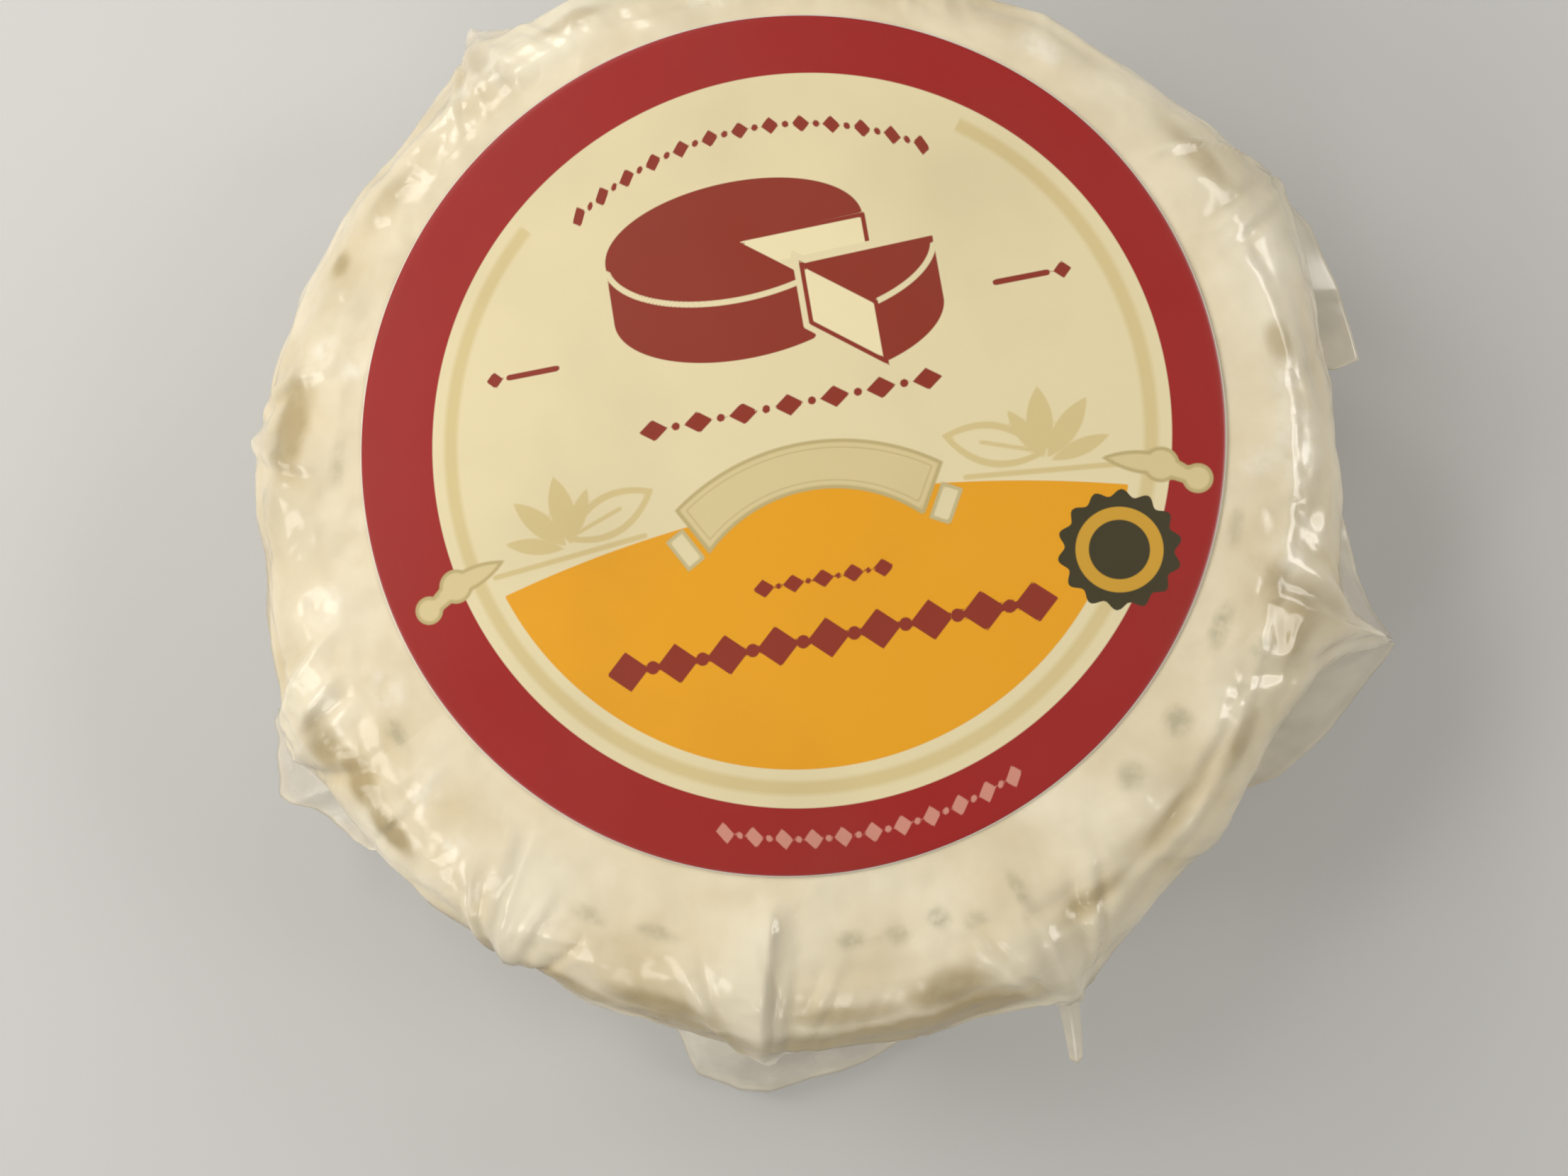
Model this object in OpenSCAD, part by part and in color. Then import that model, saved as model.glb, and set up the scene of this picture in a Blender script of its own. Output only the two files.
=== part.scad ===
// A small wheel of bloomy-rind cheese, wrapped in a folded film, with a round label on top.
// Millimetres. +Z is up, and the origin is the middle of the wrapper's underside.

/* [Cheese] */
// Diameter of the wheel
cheese_d = 75; // [60:1:110]
// Height of the wheel
cheese_h = 25; // [20:0.5:40]
// Rounding of the wheel's top edge
top_round = 5; // [2.5:0.5:7]
// Rounding of the wheel's bottom edge
bottom_round = 4; // [2:0.5:7]

/* [Wrapper] */
// Thickness of the film and its trapped air on the wheel's flat faces
film_t = 0.25; // [0.2:0.05:0.6]
// How far the film's outside stands off the wheel's side
side_slack = 1; // [0.8:0.1:3]
// Air left between the wheel's side and the film's inside
side_air = 0.4; // [0.1:0.1:0.5]
// Height at which the folds stand out furthest
corner_z = 12; // [8:0.5:16]
// How fully the film stands out above that height: 1 is a straight tent, 3 a full bag
fullness = 1.6; // [1:0.1:3]
// Depth of the shallow creases between two corners
crease_depth = 0.35; // [0:0.05:0.6]
// Half height of a loose ear of film
ear_half_h = 4.5; // [3:0.5:6]

/* [Label] */
// Diameter of the label
label_d = 58; // [30:1:62]
// Thickness of the label
label_t = 0.2; // [0.1:0.05:0.5]
// How far the label sits to the right of the wheel's middle
label_x = 0.6; // [-2:0.1:2]
// How far the label sits behind the wheel's middle
label_y = 2.8; // [-3:0.1:3]

/* [Hidden] */
$fn = 96;

// Where the film is gathered into a fold: the angle, and how far it stands out beyond the side.
// The angles rise, and neighbours are less than 60 degrees apart.
CORNERS = [[20, 5.5], [75, 5], [126, 5.5], [170, 4.5], [207, 3.5], [232, 2], [261, 3], [300, 4.5],
           [346, 7]];
// Loose ears of film: the angle, the reach, the half width in degrees, and the middle height
EARS = [[22, 1.5, 7, 12], [75, 3, 4, 7], [186, 5.5, 11, 8], [207, 6, 4, 9], [265, 5.5, 5, 4],
        [297, 6.5, 2, 6], [346, 2, 3, 10]];
panel_steps = 16;    // columns of facets between two corners
creases = 2;         // shallow creases between two corners
arc_step = 15;       // degrees between two rings round an edge
side_steps = 5;      // rings up the straight part of the side
foot_share = 0.35;   // share of a fold's reach that is left where it tucks under
foot_power = 0.8;    // how soon a fold narrows below its widest height
cut_depth = 1;       // how far the uncut folds reach below the flat underside

cheese_r = cheese_d / 2;
film_top = cheese_h + 2 * film_t;
side_r = cheese_r + side_slack;
side_low = film_t + bottom_round;
side_high = film_t + cheese_h - top_round;
n_corners = len(CORNERS);

function cross2(a, b) = a[0] * b[1] - a[1] * b[0];
function heading(angle) = [cos(angle), sin(angle)];

// Corner i, counted on past the last one round to the first
function corner_angle(i) = CORNERS[i % n_corners][0] + 360 * floor(i / n_corners);
function corner_point(i) = (side_r + CORNERS[i % n_corners][1]) * heading(corner_angle(i));

// Reach of the straight line between corners i and i + 1, seen from the middle at an angle
function panel_r(i, angle) =
    let (along = corner_point(i + 1) - corner_point(i))
    cross2(corner_point(i), along) / cross2(heading(angle), along);

// Share of a fold's full reach at a height: none at the top face, all at corner_z
function fold_share(z) =
    z > corner_z
        ? 1 - pow((z - corner_z) / (film_top - corner_z), fullness)
        : foot_share + (1 - foot_share) * pow(max(z, 0) / corner_z, foot_power);

// Smallest turn between two angles
function turn_between(a, b) = let (d = abs(a - b) % 360) min(d, 360 - d);

function bell(x) = exp(-x * x);

// Reach of every loose ear, added up
function ears_r(angle, z, i = 0) =
    i == len(EARS) ? 0
        : EARS[i][1] * bell(turn_between(angle, EARS[i][0]) / EARS[i][2])
            * bell((z - EARS[i][3]) / ear_half_h)
            + ears_r(angle, z, i + 1);

// Rings from the top face down to below the underside: the radius of the plain side, and the height
RINGS = concat(
    [for (a = [90:-arc_step:arc_step])
        [cheese_r - top_round + (top_round + side_slack) * cos(a),
         side_high + (top_round + film_t) * sin(a)]],
    [for (k = [0:side_steps - 1])
        [side_r, side_high + (side_low - side_high) * k / (side_steps - 1)]],
    [for (a = [arc_step:arc_step:90 - arc_step])
        [cheese_r - bottom_round + (bottom_round + side_slack) * cos(a),
         side_low - (bottom_round + film_t) * sin(a)]],
    [[cheese_r - bottom_round, -cut_depth]]);

// One point of the film's outside: ring k, and step s of the panel that starts at corner i
function film_point(k, i, s) =
    let (share = s / panel_steps,
         angle = corner_angle(i) + (corner_angle(i + 1) - corner_angle(i)) * share,
         z = RINGS[k][1],
         fold = max(0, panel_r(i, angle) - side_r),
         crease = crease_depth * sin(360 * creases * share),
         r = RINGS[k][0] + (fold + crease) * fold_share(z) + (k == 0 ? 0 : ears_r(angle, z)))
    [r * cos(angle), r * sin(angle), z];

// Outline of half the wheel, with its side moved out by a gap
module wheel_half(gap = 0) {
    r = cheese_r + gap;
    square([r - bottom_round, cheese_h - top_round]);
    translate([0, bottom_round]) square([r - top_round, cheese_h - bottom_round]);
    translate([0, bottom_round]) square([r, cheese_h - top_round - bottom_round]);
    translate([r - top_round, cheese_h - top_round]) circle(top_round);
    translate([r - bottom_round, bottom_round]) circle(bottom_round);
}

module wheel(gap = 0) {
    translate([0, 0, film_t]) rotate_extrude() wheel_half(gap);
}

// The film's outside as one closed skin, with its folds, creases and ears
module folded_skin() {
    columns = n_corners * panel_steps;
    rings = len(RINGS);
    points = concat(
        [for (k = [0:rings - 1]) for (i = [0:n_corners - 1]) for (s = [0:panel_steps - 1])
            film_point(k, i, s)],
        [[0, 0, film_top], [0, 0, -cut_depth]]);
    top = rings * columns;
    foot = top + 1;
    function at(k, c) = k * columns + c % columns;
    polyhedron(points, concat(
        [for (c = [0:columns - 1]) [top, at(0, c + 1), at(0, c)]],
        [for (k = [0:rings - 2]) for (c = [0:columns - 1])
            each [[at(k, c), at(k, c + 1), at(k + 1, c)],
                  [at(k, c + 1), at(k + 1, c + 1), at(k + 1, c)]]],
        [for (c = [0:columns - 1]) [foot, at(rings - 1, c), at(rings - 1, c + 1)]]));
}

module cheese() {
    color("wheat") wheel();
}

module wrapper() {
    color("ivory") difference() {
        folded_skin();
        wheel(side_air);
        translate([-cheese_d, -cheese_d, -2 * cut_depth])
            cube([2 * cheese_d, 2 * cheese_d, 2 * cut_depth]);
    }
}

module label() {
    color("firebrick") translate([label_x, label_y, film_top]) cylinder(d = label_d, h = label_t);
}

cheese();
wrapper();
label();
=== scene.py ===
"""Looks of a small wheel of bloomy-rind cheese in folded film, with a round printed label on top."""

import bpy
import numpy as np
from mathutils import Matrix, Vector


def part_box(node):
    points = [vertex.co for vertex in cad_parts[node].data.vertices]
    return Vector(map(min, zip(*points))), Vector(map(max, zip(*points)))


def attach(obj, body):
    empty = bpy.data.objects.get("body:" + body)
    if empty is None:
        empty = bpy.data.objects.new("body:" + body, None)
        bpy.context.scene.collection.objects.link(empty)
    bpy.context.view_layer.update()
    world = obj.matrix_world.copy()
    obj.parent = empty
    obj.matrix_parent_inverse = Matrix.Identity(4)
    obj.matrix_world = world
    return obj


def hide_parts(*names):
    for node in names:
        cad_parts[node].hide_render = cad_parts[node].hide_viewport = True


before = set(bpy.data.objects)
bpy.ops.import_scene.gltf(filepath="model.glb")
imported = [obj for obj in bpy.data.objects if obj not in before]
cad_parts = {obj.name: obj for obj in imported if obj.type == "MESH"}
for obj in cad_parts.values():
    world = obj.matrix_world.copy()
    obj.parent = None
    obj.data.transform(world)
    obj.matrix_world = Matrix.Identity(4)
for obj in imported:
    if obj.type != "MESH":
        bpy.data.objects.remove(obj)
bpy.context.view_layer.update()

# ---------------------------------------------------------------- sizes, in millimetres
MM = 0.001


def box_mm(node):
    """Lowest and highest corner of a CAD node, in millimetres."""
    low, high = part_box(node)
    return np.array(low) / MM, np.array(high) / MM


cheese_low, cheese_high = box_mm("cheese")
label_low, label_high = box_mm("label")
_, wrapper_high = box_mm("wrapper")

WHEEL_R = (cheese_high[1] - cheese_low[1]) / 2
WHEEL_LOW = cheese_low[2]
WHEEL_TOP = cheese_high[2]
FILM_TOP = wrapper_high[2]
LABEL_R = (label_high[1] - label_low[1]) / 2
LABEL_X, LABEL_Y = (label_low[:2] + label_high[:2]) / 2

SHOULDER_WIDE = 7.2     # how far in the soft shoulder starts from the side
SHOULDER_TALL = 7.5     # and how far down it reaches
SHOULDER_POWER = 2.4    # 2 is an ellipse, and more is flatter on top and tighter at the side
FOOT_ROUND = 5.0        # rounding at the foot
SIDE_SLACK = 0.6        # how far the film stands off the side
CORNER_Z = 15.0         # height at which the folds stand out furthest
FULLNESS = 1.6          # how fully the film stands out above that height
FOOT_SHARE = 0.35       # share of a fold's reach that is left where it tucks under
FILM_AIR = 0.25         # the cheese's plain form lies this far inside the wheel's outside
CHEESE_LIFT = 0.65      # the cheese's underside lies this far up, on the folds
SHOULDER_BEND = 0.075   # half the shoulder's curvature, for each millimetre
LEAST_ROOM = 0.06       # how far creases may sink below the film's plain form
FLOOR_GAP = 0.03        # the film's underside lies this far above the floor, and the label above the film
TUCK_RISE = 0.55        # height of the overlapped folds underneath
CALM_GAPS = (0.3, 3.5)  # distances from the label's edge between which the film's relief grows

PLEAT_FALL = 3.2        # width over which a pleat falls back behind its step
PLEAT_STEP = 0.45       # width of the step itself
PLEAT_SHADE = (0.75, 0.85)  # how far from the step its dark line lies, and the line's half width
FAN_CREASES = 7         # fine creases at each corner
PANEL_CREASES = 6       # long creases along each panel
SHORT_CREASES = 130     # short creases over the whole film

EAR_ROOT_IN = 0.9       # how far inside the film the loose ears start
EAR_THICK = (0.12, 0.04)  # half thickness lost towards an ear's outer edge, and what is left there
EAR_LOW = 0.3           # least height of an ear above the floor
FLOOR_HALF = 4000       # half the floor's width
LAMP_FAR = 0.6          # distance of the side lamps from the wheel, in metres

# Crumpled facets of the film: height, width, length, the share left on the top face, and seed.
FACETS = [(0.50, 9.0, 8.0, 0.25, 4), (0.30, 3.8, 5.0, 0.20, 9), (0.04, 1.5, 2.0, 0.30, 15)]
# Tall facets on the side alone, and facets of the loose ears: height, width, length and seed.
SIDE_FACETS = (0.45, 4.6, 13.0, 23)
EAR_FACETS = [(1.4, 4.2, 14.0, 20), (0.2, 2.1, 9.0, 40)]

# Where the film is gathered into a fold: angle, reach beyond the side, height of the pleat's step,
# the side the step faces (1 is anticlockwise), how far the fold line drifts on its way out in degrees,
# and how far in from the side it starts.
CORNERS = [
    (32, 3.9, 0.30, 1, 3.0, 5.0), (78, 3.6, 0.40, -1, -3.0, 5.0), (124, 3.9, 0.45, 1, 2.0, 6.0),
    (174, 2.5, 0.35, -1, -4.0, 4.5), (209, 3.6, 0.35, 1, 5.0, 6.0), (241, 0.6, 0.50, -1, 4.5, 10.4),
    (269.3, 1.1, 0.60, 1, -2.0, 10.8), (300.5, 2.3, 0.35, -1, -1.5, 5.0),
    (346, 3.0, 0.40, 1, -1.0, 6.0),
]
CORNER_ANGLES = np.array([c[0] for c in CORNERS], float)

# Places where the film clings to an uncovered tan patch of rind: angle, distance down the film from the
# start of the shoulder, half width in degrees, half length, and strength. The strong patches along the
# lower rim, from about 240 to 290 degrees and 7 to 9 mm down, also paint the shade under the rim.
RIND_PATCHES_AND_RIM_SHADE = [
    (173, 3.4, 6.0, 1.5, 1.0), (153, 3.7, 1.6, 0.9, 0.8), (143, 2.9, 5.0, 1.1, 0.4),
    (210, 4.9, 3.0, 1.4, 0.9), (216, 3.9, 4.4, 1.1, 0.9), (222.5, 4.3, 3.6, 1.0, 0.9),
    (289.5, 4.5, 4.4, 1.5, 0.75), (279, 4.8, 6.0, 0.9, 0.6), (259, 5.6, 6.5, 1.3, 0.9),
    (307.5, 3.5, 4.6, 0.8, 0.6), (320, 3.3, 5.0, 0.8, 0.45), (330.5, 4.3, 3.6, 0.9, 0.6),
    (347.5, 2.4, 3.4, 0.8, 0.7), (344.3, 4.4, 4.4, 1.4, 0.7), (14.5, 3.1, 2.4, 0.8, 0.7),
    (37, 4.3, 5.0, 0.9, 0.5), (114, 4.4, 4.0, 0.8, 0.5), (275, 8.0, 14.0, 1.8, 1.0),
    (240, 8.6, 11.0, 1.6, 0.8), (190, 9.5, 9.0, 1.6, 0.6), (306, 11.5, 8.0, 2.0, 0.6),
    (278, 17.0, 13.0, 2.4, 0.7), (232, 15.0, 9.0, 2.2, 0.6), (20, 13.0, 9.0, 2.0, 0.6),
    (60, 9.0, 7.0, 1.8, 0.6), (97, 15.0, 10.0, 2.2, 0.6), (160, 12.0, 6.0, 2.0, 0.5),
    (335, 15.0, 9.0, 2.2, 0.5), (286, 7.4, 12.0, 1.7, 1.4), (262, 7.8, 9.0, 1.6, 1.4),
    (248, 7.2, 6.0, 1.4, 0.9),
]
# Faint grey painted fold shadows in the film, placed the same way, with their strength.
FOLD_SHADOW_MARKS = [
    (341.5, -0.2, 2.8, 0.6, 1.0), (329, -0.2, 1.9, 0.9, 1.0), (320.5, -0.5, 1.9, 0.9, 0.9),
    (340.5, 2.6, 1.4, 0.6, 0.8), (353.5, -0.6, 2.6, 0.5, 0.6), (335.5, 2.6, 1.2, 0.5, 0.6),
    (214.5, -0.3, 2.6, 0.5, 0.9), (256.5, 0.0, 2.6, 0.5, 0.8), (280.5, -0.2, 1.9, 0.6, 0.9),
    (286, 0.0, 1.6, 0.6, 0.9), (291.5, -0.2, 1.3, 0.7, 1.0), (295.5, 0.8, 1.6, 0.4, 0.6),
    (301.5, 0.4, 0.9, 1.4, 0.8), (248, 0.4, 2.4, 0.45, 0.8), (177.5, -0.8, 3.2, 0.5, 0.6),
    (283.5, 0.1, 5.0, 0.35, 0.4),
]
# Small flats where the film is pulled tight and catches the light: angle, distance down the film, half
# width in degrees, half length, and how much steeper than its surroundings each is.
# Each flat also gets a painted highlight: the film's colour is lightened there.
FLATS = [
    (3.5, 3.5, 5.0, 1.5, 0.0), (10.5, 3.1, 2.4, 1.0, 0.0), (24.5, 4.4, 3.0, 1.2, -0.17),
    (354.5, 4.4, 2.0, 1.1, -0.17), (351.3, 3.0, 1.8, 0.9, 0.0), (1.5, 0.8, 1.8, 1.0, 0.30),
    (163.5, 1.8, 1.8, 0.9, 0.20), (164.8, -0.6, 1.6, 0.8, 0.34), (195.5, 1.1, 2.2, 1.3, 0.28),
    (209, -1.1, 2.6, 1.1, 0.36), (222, 0.9, 2.2, 1.4, 0.28), (229.5, 1.6, 1.4, 0.8, 0.22),
    (123.5, 4.1, 2.2, 1.1, -0.12), (127.5, 4.8, 1.8, 0.9, -0.18), (97, 3.4, 3.0, 1.2, 0.0),
    (58, 3.4, 2.4, 1.1, 0.0),
]
# Sharp spurs at the end of a fold: angle, reach, the degrees in which it falls off on its clockwise and
# anticlockwise sides, height and half height.
SPURS = [
    (346.3, 3.1, 2.6, 1.5, 17.0, 4.4), (299.5, 1.4, 1.3, 1.3, 15.5, 4.0),
    (125, 2.2, 5.0, 4.5, 16.0, 5.0), (174, 0.7, 3.0, 3.0, 15.0, 6.0),
    (209, 0.3, 2.0, 2.0, 15.0, 6.0), (269, 0.6, 2.5, 2.5, 17.0, 5.0),
]
# Loose ears of film: crumpling, how cloudy each is, the two ends of the line where it leaves the film
# (angle and height), and the corners of its outer edge (angle, distance from the middle and height).
EARS = [
    (0.30, 0.46, (34, 18), (16, 9),
     ((35, 42.2, 16), (29, 43.6, 13.5), (20, 44.4, 11), (14.4, 44.8, 9.5), (14.2, 42.8, 9.5))),
    (0.14, 0.50, (346, 19), (328, 8),
     ((346.4, 44.4, 15.5), (344.8, 44.5, 14), (337, 43.4, 11), (331, 42.1, 9.5), (328, 40.5, 9))),
    (0.14, 0.34, (347, 19), (359, 10),
     ((346.6, 44.2, 15.5), (349.5, 43.1, 13.5), (353, 42.4, 11.5), (359, 41.4, 10.5))),
    (0.60, 0.30, (199, 13), (221, 6),
     ((199.5, 42.5, 9), (201.5, 47.0, 7), (205, 48.3, 6), (208.3, 49.4, 6),
      (211.5, 46.8, 7), (218.5, 44.4, 8), (221, 41.5, 9))),
    (0.60, 0.30, (167, 9), (204, 4),
     ((168, 42, 4), (174, 47.2, 2), (184, 46.2, 1.4), (194, 47.0, 1.5), (203, 43, 3.5))),
    (0.30, 0.24, (256, 9), (284, 5),
     ((256, 42.5, 4), (259.9, 46.8, 3), (264.2, 47.6, 3), (267.2, 47.3, 3),
      (272.4, 46.0, 3), (278, 44.6, 3), (283.6, 42.5, 4))),
    (0.06, 0.45, (302.2, 15.5), (299.4, 15.0),
     ((298.2, 45.9, 13.5), (297.6, 46.1, 13.4), (297.1, 45.7, 13.3))),
    (0.60, 0.34, (66, 10), (90, 4),
     ((67, 42, 6), (72, 46.5, 3.5), (79, 48.5, 2.4), (86, 45.5, 2.6), (90, 42, 3))),
]

rng = np.random.default_rng(12)


# ---------------------------------------------------------------- camera
def make_camera():
    """A close view from almost straight above, with the label's back edge near the top of the frame."""
    place = Vector((10.0, -13.0, 108.7)) * MM
    aim = Vector((1.1, -7.35, 25.7)) * MM
    look = (aim - place).normalized()
    up = Vector((0, -look.z, look.y)).normalized()
    turn = Matrix((look.cross(up), up, -look)).transposed()
    data = bpy.data.cameras.new("camera")
    data.sensor_width = 36
    data.lens = 29.1
    data.clip_start = 0.01
    camera = bpy.data.objects.new("camera", data)
    camera.matrix_world = Matrix.Translation(place) @ turn.to_4x4()
    bpy.context.scene.collection.objects.link(camera)
    bpy.context.scene.camera = camera


make_camera()


# ---------------------------------------------------------------- meshes
def build_mesh(name, points, faces, values=None):
    """Makes a smooth mesh object from points in millimetres and faces of three or four corners.

    A face of three repeats no corner: its fourth index is -1. values maps names to one number a point."""
    faces = np.asarray(faces, np.int64)
    corners = np.where(faces[:, 3] < 0, 3, 4)
    loops = faces.ravel()
    loops = loops[loops >= 0].astype(np.int32)
    mesh = bpy.data.meshes.new(name)
    mesh.vertices.add(len(points))
    mesh.vertices.foreach_set("co", (np.asarray(points, np.float64) * MM).ravel())
    mesh.loops.add(len(loops))
    mesh.loops.foreach_set("vertex_index", loops)
    mesh.polygons.add(len(faces))
    mesh.polygons.foreach_set("loop_start", (np.cumsum(corners) - corners).astype(np.int32))
    mesh.polygons.foreach_set("use_smooth", np.ones(len(faces), bool))
    mesh.update(calc_edges=True)
    for key, numbers in (values or {}).items():
        layer = mesh.attributes.new(key, "FLOAT", "POINT")
        layer.data.foreach_set("value", np.asarray(numbers, np.float32).ravel())
    mesh.validate()
    piece = bpy.data.objects.new(name, mesh)
    bpy.context.scene.collection.objects.link(piece)
    return piece


def closed_round(name, grid, top, bottom, values=None):
    """Makes a closed skin from rings of points that run round the Z axis, from the top ring down.

    grid holds rings by columns by 3. Each ring joins the next, and a middle point closes each end."""
    rings, columns = grid.shape[:2]
    at = np.arange(rings * columns).reshape(rings, columns)
    after = np.roll(at, -1, axis=1)
    sides = np.stack([at[:-1], at[1:], after[1:], after[:-1]], axis=-1).reshape(-1, 4)
    top_at, bottom_at = rings * columns, rings * columns + 1
    none = np.full(columns, -1)
    top_cap = np.stack([np.full(columns, top_at), at[0], after[0], none], axis=-1)
    bottom_cap = np.stack([np.full(columns, bottom_at), after[-1], at[-1], none], axis=-1)
    points = np.concatenate([grid.reshape(-1, 3), [top, bottom]])
    ends = {k: np.concatenate([v.ravel(), [v[0].mean(), v[-1].mean()]]) for k, v in (values or {}).items()}
    return build_mesh(name, points, np.concatenate([sides, top_cap, bottom_cap]), ends)


def smooth_step(low, high, x):
    """0 below low, 1 above high, and an S curve between them."""
    t = np.clip((x - low) / (high - low), 0, 1)
    return t * t * (3 - 2 * t)


def bell(x):
    """1 at nought, falling to both sides as exp(-x^2)."""
    return np.exp(-x * x)


def turn_from(angle, centre):
    """Signed turn in degrees from centre to angle, from -180 to 180."""
    return (angle - centre + 180) % 360 - 180


# ---------------------------------------------------------------- form of the wrapped wheel
def wheel_profile(counts, low, top, side_r):
    """Half outline of the wheel from the middle of its top to the middle of its underside.

    A flat, a shoulder (x / wide)^p + (z / tall)^p = 1, a straight side, a quarter circle and a flat.
    counts gives the rows of the top's hidden middle, its rim, the shoulder, the side, the foot and the
    underside."""
    middle, rim, arc, side, foot, under = counts
    rim_r, foot_r = side_r - SHOULDER_WIDE, side_r - FOOT_ROUND
    split = rim_r - 5.5
    a = np.linspace(0, np.pi / 2, arc, endpoint=False)[:, None]
    b = np.linspace(0, np.pi / 2, foot, endpoint=False)[:, None]
    power = 2 / SHOULDER_POWER
    side_high = top - SHOULDER_TALL
    flat = np.concatenate([np.linspace(2, split, middle, endpoint=False),
                           np.linspace(split, rim_r, rim, endpoint=False)])
    parts = [
        np.stack([flat, np.full(len(flat), top)], axis=1),
        np.hstack([rim_r + SHOULDER_WIDE * np.sin(a) ** power,
                   side_high + SHOULDER_TALL * np.cos(a) ** power]),
        np.stack([np.full(side, side_r),
                  np.linspace(side_high, low + FOOT_ROUND, side, endpoint=False)], axis=1),
        np.hstack([foot_r + FOOT_ROUND * np.cos(b), low + FOOT_ROUND - FOOT_ROUND * np.sin(b)]),
        np.stack([np.linspace(foot_r, 1.2, under), np.full(under, low)], axis=1),
    ]
    return np.concatenate(parts)


def fold_share(z):
    """Share of a fold's reach at a height: none at the top face, all at CORNER_Z, less at the foot."""
    above = 1 - (np.clip(z - CORNER_Z, 0, None) / (FILM_TOP - CORNER_Z)) ** FULLNESS
    below = FOOT_SHARE + (1 - FOOT_SHARE) * (np.clip(z, 0, CORNER_Z) / CORNER_Z) ** 0.8
    return np.where(z > CORNER_Z, above, below)


def panel_place(angle):
    """Index of the corner before each angle, and how far along its panel the angle is, from 0 to 1."""
    start = np.append(CORNER_ANGLES, CORNER_ANGLES[0] + 360)
    along = (angle - CORNER_ANGLES[0]) % 360 + CORNER_ANGLES[0]
    index = np.clip(np.searchsorted(start, along, side="right") - 1, 0, len(CORNERS) - 1)
    return index, (along - start[index]) / (start[index + 1] - start[index])


def panel_reach(angle):
    """Distance from the middle to the straight lines that join neighbouring corners' points.

    For corners A and B and a heading u it is cross(A, B - A) / cross(u, B - A)."""
    reach = WHEEL_R + SIDE_SLACK + np.array([c[1] for c in CORNERS])
    turn = np.radians(CORNER_ANGLES)
    corner = np.stack([reach * np.cos(turn), reach * np.sin(turn)], axis=1)
    index, _ = panel_place(angle)
    a = corner[index]
    along = corner[(index + 1) % len(CORNERS)] - a
    t = np.radians(angle)
    return (a[..., 0] * along[..., 1] - a[..., 1] * along[..., 0]) / (
        np.cos(t) * along[..., 1] - np.sin(t) * along[..., 0])


def top_wave(x, y):
    """Slow rise and fall of the film's top face, which the label follows: three crossing sine waves."""
    return 0.05 * (np.sin(x / 6.1 + 0.4) + np.sin((0.6 * x + y) / 7.3 + 1.9) + np.sin((y - 0.7 * x) / 5.2))


def flat_facets(across, down, wide, tall, span, seed):
    """Crumpled film: random heights from -1 to 1 at the points of a slanted lattice, joined by flat
    triangles, so that creases stay sharp. The lattice closes on itself after span."""
    columns = max(3, int(round(span / wide)))
    heights = np.random.default_rng(seed).uniform(-1, 1, (columns, 256))
    y = down / tall + 0.22 * np.sin(across / span * 2 * np.pi * 7 + seed)
    x = across / span * columns + 0.5 * y + 0.20 * np.sin(down / tall * 1.7 + seed)
    i, j = np.floor(x).astype(int), np.floor(y).astype(int)
    fx, fy = x - i, y - j

    def corner(di, dj):
        return heights[(i + di) % columns, (j + dj) % 256]

    near, far = corner(0, 0), corner(1, 1)
    lower = near + fx * (corner(1, 0) - near) + fy * (far - corner(1, 0))
    upper = near + fy * (corner(0, 1) - near) + fx * (far - corner(0, 1))
    return np.where(fx > fy, lower, upper)


def pleats(angle, r, outward):
    """Height of the overlapped folds at the corners, and a mask of painted shade: a dark line beside each
    step.

    A step rises sharply across the fold's line and falls back slowly on its other side."""
    height, line = np.zeros_like(angle), np.zeros_like(angle)
    side_r = WHEEL_R + SIDE_SLACK
    for centre, _, step, facing, drift, start in CORNERS:
        progress = (outward - side_r + start) / start
        away = np.radians(turn_from(angle, centre - drift * np.clip(1 - progress, 0, 1))) * r * facing
        shown = smooth_step(0, 0.25, progress)
        height += step * shown * np.where(away < 0, np.exp(away / PLEAT_FALL), np.exp(-away / PLEAT_STEP))
        shade_off, shade_half = PLEAT_SHADE
        line = np.maximum(line, shown * bell((away - shade_off) / shade_half) * min(1, step * 1.7))
    return height, line


def corner_fans(angle, r, progress):
    """Fine creases that spread from each corner towards the top: tents up to 1.3 mm to each side."""
    height = np.zeros_like(angle)
    for centre, *_ in CORNERS:
        for _ in range(FAN_CREASES):
            spread, width = rng.uniform(-15, 15), rng.uniform(0.5, 1.3)
            tall, fade = rng.uniform(0.12, 0.34) * rng.choice([-1, 1]), rng.uniform(0.5, 1.0)
            away = np.radians(turn_from(angle, centre + spread * (1.15 - progress))) * r
            shown = smooth_step(0.12, 0.45, progress) * smooth_step(1.5, fade, progress)
            height += tall * shown * np.clip(1 - np.abs(away) / width, 0, None)
    return height


def short_creases(across, down, count, length, depth):
    """Random short creases in unrolled film: each is a tent that fades towards its two ends."""
    height = np.zeros_like(across)
    span = 2 * np.pi * WHEEL_R
    lowest, highest = down.min(), down.max()
    for _ in range(count):
        x, y = rng.uniform(0, span), rng.uniform(lowest, highest)
        lean, size = rng.normal(np.pi / 2, 0.75), rng.uniform(*length)
        deep, width = rng.uniform(*depth) * rng.choice([-1, 1]), rng.uniform(0.4, 1.1)
        dx, dy = (across - x + span / 2) % span - span / 2, down - y
        along = dx * np.cos(lean) + dy * np.sin(lean)
        off = -dx * np.sin(lean) + dy * np.cos(lean)
        height += deep * np.clip(1 - np.abs(off) / width, 0, None) * bell(along / size)
    return height


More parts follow.
